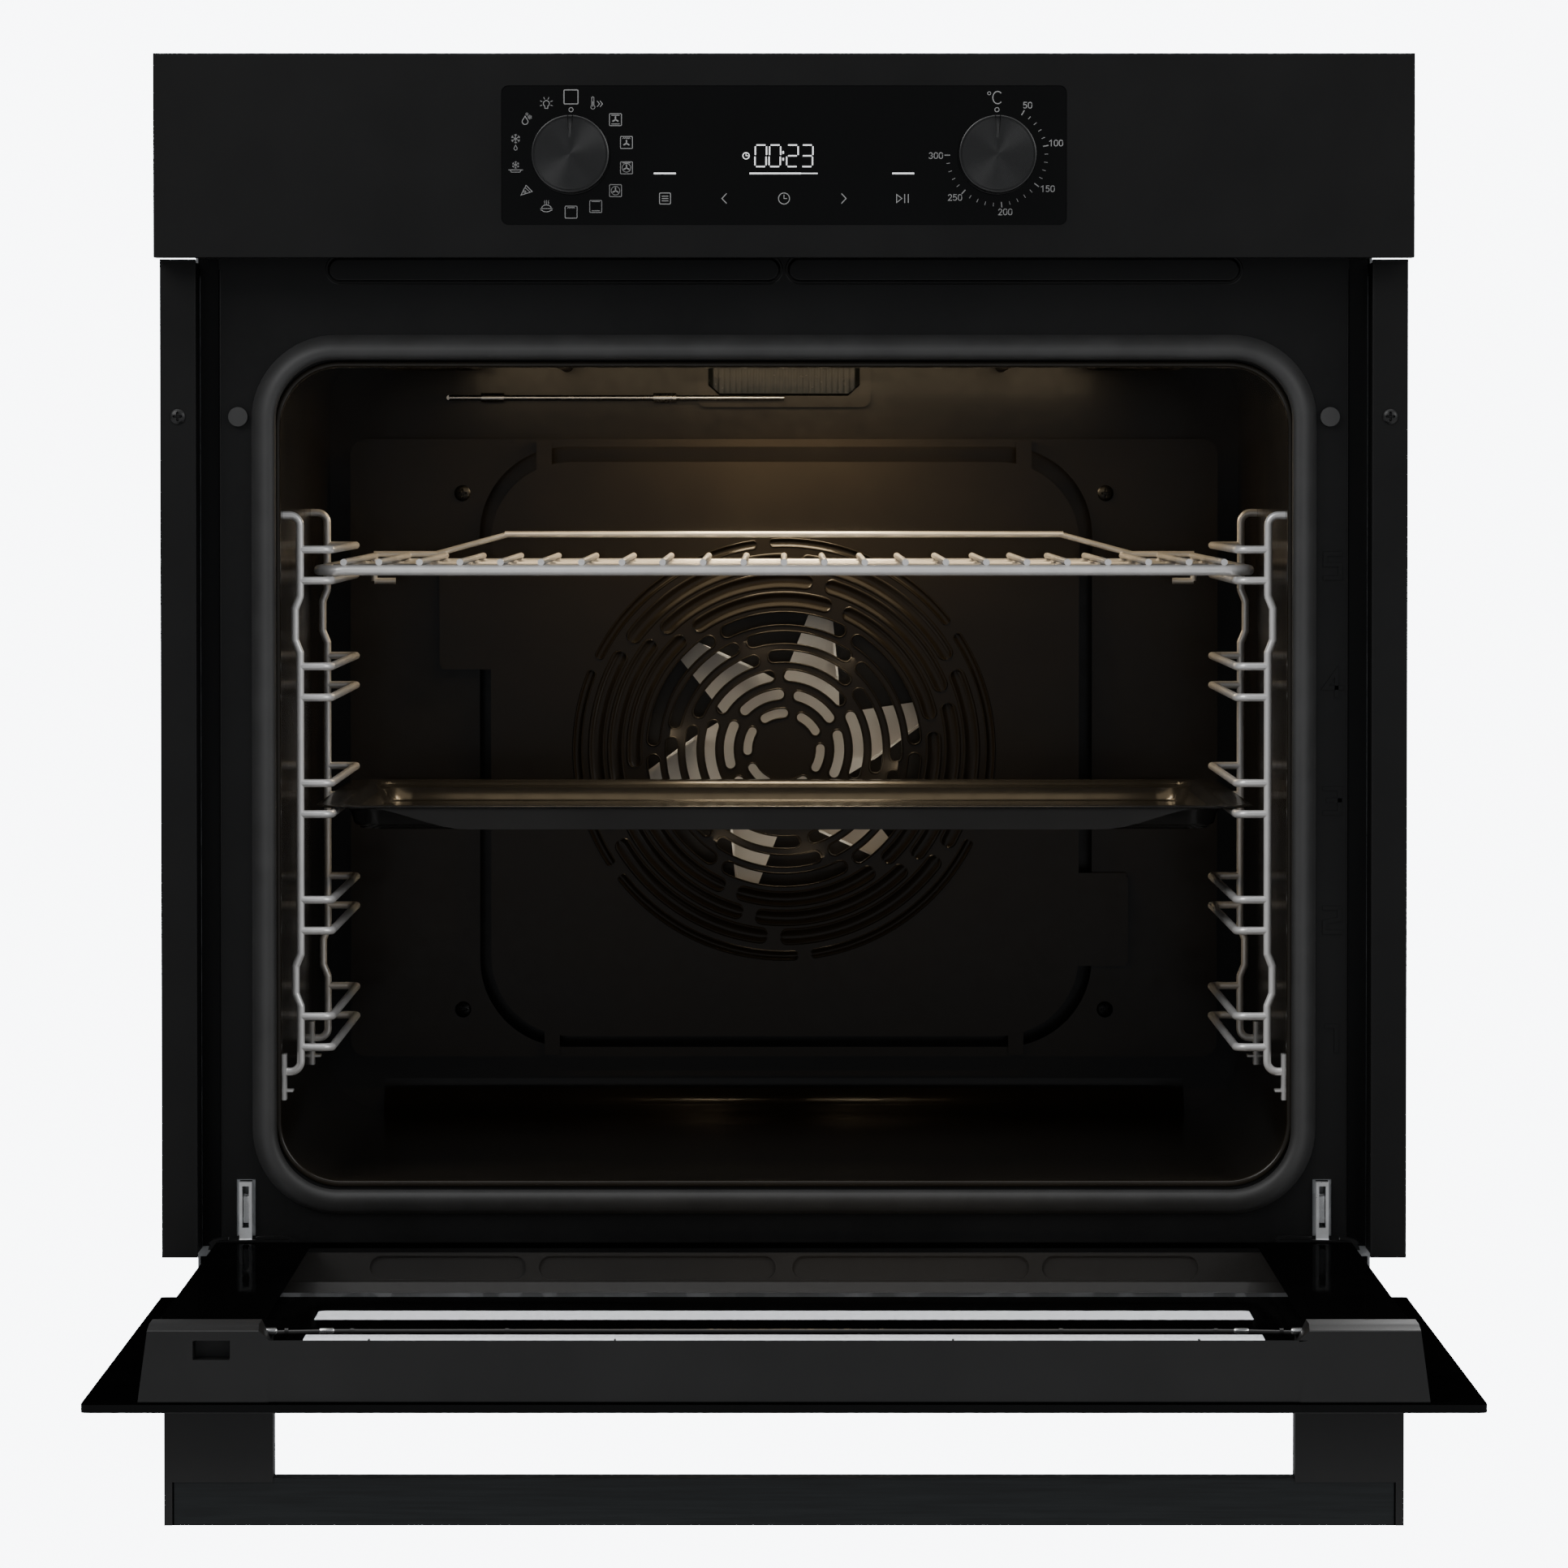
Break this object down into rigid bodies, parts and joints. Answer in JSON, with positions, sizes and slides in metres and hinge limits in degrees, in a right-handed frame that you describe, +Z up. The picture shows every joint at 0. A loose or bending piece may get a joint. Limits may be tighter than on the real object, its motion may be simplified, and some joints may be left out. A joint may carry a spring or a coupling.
{
  "type": "wall oven",
  "caption": "Built-in electric wall oven with a drop-down glass door, front handle, two control knobs, display, fan baffle, side racks, wire shelf and baking tray.",
  "frame": {"origin": "middle of the cabinet niche floor's front edge: y = 0 is the cabinet's front plane and z = 0 the niche floor", "axes": "+X to the right seen from the front, +Y into the niche, +Z up"},
  "size_m": [0.595, 1.0452, 0.6467],
  "materials": {
    "steel_galvanised": "zinc-coated sheet",
    "frame_black": "satin enamel",
    "trim_black": "matte powder coat",
    "screw_dark": "blackened",
    "rubber_dark": "silicone",
    "enamel_dark": "glossy vitreous enamel",
    "enamel_tray": "vitreous enamel",
    "chrome_wire": "bright plated wire",
    "heater_tube": "heat-darkened",
    "ceramic": "matte",
    "lamp_glass": "clear",
    "stainless": "bright",
    "glass_wool": "glass-wool felt",
    "fan_steel": "mill finish",
    "insert_gloss": "black back-printed glass",
    "circuit_board": "solder resist",
    "switch_plastic": "moulded",
    "knob_metal": "black anodised, spun",
    "plastic_black": "moulded",
    "hinge_zinc": "zinc plated",
    "door_glass": "dark tempered glass with a printed border",
    "door_trim": "satin",
    "handle_brushed": "dark anodised, brushed along its length"
  },
  "bodies": {
    "chassis": {"base_pan": "steel_galvanised", "left_side_panel": "steel_galvanised", "right_side_panel": "steel_galvanised", "top_cover": "steel_galvanised", "rear_cover": "steel_galvanised", "front_frame": "frame_black", "left_side_trim": "trim_black", "right_side_trim": "trim_black", "cabinet_screws": "screw_dark", "door_buffers": "rubber_dark", "cavity": "enamel_dark", "fan_baffle": "enamel_dark", "baffle_screws": "screw_dark", "door_seal": "rubber_dark", "left_rack": "chrome_wire", "right_rack": "chrome_wire", "rack_clips": "chrome_wire", "grill_element": "heater_tube", "ring_element": "heater_tube", "bottom_element": "heater_tube", "lamp_housing": "enamel_dark", "lamp_lens": "lamp_glass", "lamp_bulb": "lamp_glass", "temperature_probe": "stainless", "insulation": "glass_wool", "fan_motor": "steel_galvanised", "blower_housing": "steel_galvanised", "blower_motor": "steel_galvanised", "control_panel": "trim_black", "control_insert": "insert_gloss", "control_board": "circuit_board", "selector_switch": "switch_plastic", "thermostat": "switch_plastic", "terminal_cover": "plastic_black", "terminal_block": "ceramic", "hinge_receivers": "steel_galvanised", "hinge_arms": "hinge_zinc"},
    "door": {"door_outer_glass": "door_glass", "door_middle_glass": "door_glass", "door_inner_glass": "door_glass", "door_side_profiles": "frame_black", "door_top_trim": "door_trim", "door_crossbar": "frame_black", "hinge_cases": "hinge_zinc", "hinge_pins": "stainless", "hinge_springs": "hinge_zinc", "handle_bar": "handle_brushed", "handle_brackets": "door_trim", "handle_screws": "stainless"},
    "shelf": {"wire_shelf": "chrome_wire"},
    "tray": {"baking_tray": "enamel_tray"},
    "function_knob": {"left_knob": "knob_metal", "selector_shaft": "stainless"},
    "temperature_knob": {"right_knob": "knob_metal", "thermostat_shaft": "stainless"},
    "convection_fan": {"fan_wheel": "fan_steel"},
    "cooling_fan": {"blower_rotor": "fan_steel"},
    "hinge_lock_left": {"left_hinge_lock": "stainless"},
    "hinge_lock_right": {"right_hinge_lock": "stainless"}
  },
  "joints": [
    {"name": "door_hinge", "type": "hinge", "parent": "chassis", "child": "door", "pos_m": [0, -0.002, 0.02], "axis": [-1, 0, 0], "range_deg": [0, 90], "deforming": ["door_seal"]},
    {"name": "shelf_slide", "type": "slide", "parent": "chassis", "child": "shelf", "axis": [0, 1, 0], "range_m": [-0.3, 0]},
    {"name": "tray_slide", "type": "slide", "parent": "chassis", "child": "tray", "axis": [0, 1, 0], "range_m": [-0.3, 0]},
    {"name": "function_knob_turn", "type": "hinge", "parent": "chassis", "child": "function_knob", "pos_m": [-0.1004, -0.03, 0.547], "axis": [0, 1, 0], "continuous": true},
    {"name": "temperature_knob_turn", "type": "hinge", "parent": "chassis", "child": "temperature_knob", "pos_m": [0.1004, -0.03, 0.547], "axis": [0, 1, 0], "range_deg": [0, 270]},
    {"name": "convection_fan_spin", "type": "hinge", "parent": "chassis", "child": "convection_fan", "pos_m": [0, 0.48, 0.252], "axis": [0, 1, 0], "continuous": true},
    {"name": "cooling_fan_spin", "type": "hinge", "parent": "chassis", "child": "cooling_fan", "pos_m": [0, 0.47, 0.53], "axis": [1, 0, 0], "continuous": true},
    {"name": "left_lock_flip", "type": "hinge", "parent": "chassis", "child": "hinge_lock_left", "pos_m": [-0.257, 0.0195, 0.041], "axis": [-1, 0, 0], "range_deg": [-80, 0]},
    {"name": "right_lock_flip", "type": "hinge", "parent": "chassis", "child": "hinge_lock_right", "pos_m": [0.257, 0.0195, 0.041], "axis": [-1, 0, 0], "range_deg": [-80, 0]}
  ]
}
